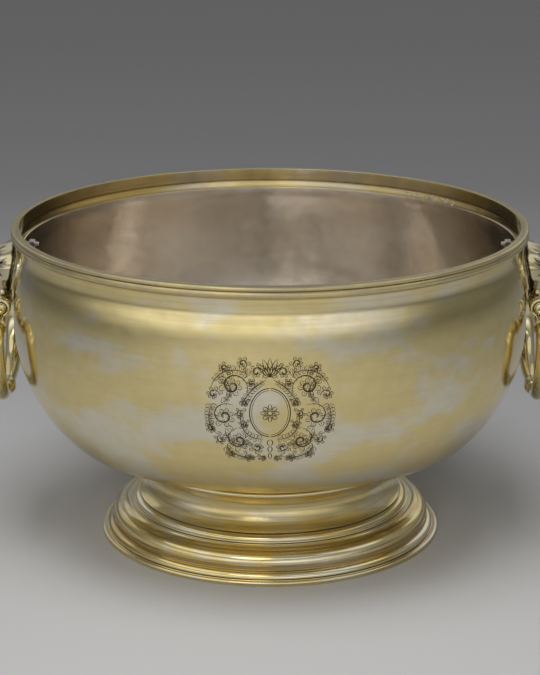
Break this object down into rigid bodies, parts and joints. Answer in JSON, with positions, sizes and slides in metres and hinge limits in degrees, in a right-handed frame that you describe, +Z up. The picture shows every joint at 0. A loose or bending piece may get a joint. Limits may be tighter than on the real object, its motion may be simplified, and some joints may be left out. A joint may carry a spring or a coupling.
{
  "type": "footed punch bowl",
  "caption": "A round footed punch bowl with a fitted liner, a reeded rim, a stepped spreading foot and a drop handle hanging from a lion mask on each side",
  "frame": {"origin": "the centre of the foot's underside, on the bowl's own axis", "axes": "+Z is up; +X runs to the right from handle to handle; -Y is the side that faces the viewer"},
  "size_m": [0.4018, 0.35, 0.2187],
  "materials": {
    "gilt_burnished": "burnished gilding, worn pale in patches",
    "gilt_deep": "polished gilding with darker grooves",
    "gilt_dark": "cast and chased gilding, dark in the hollows",
    "silver_satin": "satin silver with fine scratches",
    "silver_bright": "bright filed silver"
  },
  "bodies": {
    "bowl": {"bowl_shell": "gilt_burnished", "bowl_liner": "silver_satin", "rim_moulding": "gilt_burnished", "foot_collar": "gilt_deep", "foot_trumpet": "gilt_burnished", "foot_bead": "gilt_deep", "foot_rim": "gilt_burnished", "foot_base_ring": "gilt_deep", "right_mount_plate": "gilt_burnished", "right_lion_mask": "gilt_dark", "right_pivot_pin": "gilt_deep", "right_front_stud": "silver_bright", "right_front_nut": "silver_bright", "right_rear_stud": "silver_bright", "right_rear_nut": "silver_bright", "left_mount_plate": "gilt_burnished", "left_lion_mask": "gilt_dark", "left_pivot_pin": "gilt_deep", "left_front_stud": "silver_bright", "left_front_nut": "silver_bright", "left_rear_stud": "silver_bright", "left_rear_nut": "silver_bright"},
    "right_handle": {"right_bail": "gilt_deep"},
    "left_handle": {"left_bail": "gilt_deep"}
  },
  "joints": [
    {"name": "right_handle_swing", "type": "hinge", "parent": "bowl", "child": "right_handle", "pos_m": [0.1822, 0, 0.164], "axis": [0, -1, 0], "range_deg": [0, 115]},
    {"name": "left_handle_swing", "type": "hinge", "parent": "bowl", "child": "left_handle", "pos_m": [-0.1822, 0, 0.164], "axis": [0, 1, 0], "range_deg": [0, 115]}
  ]
}
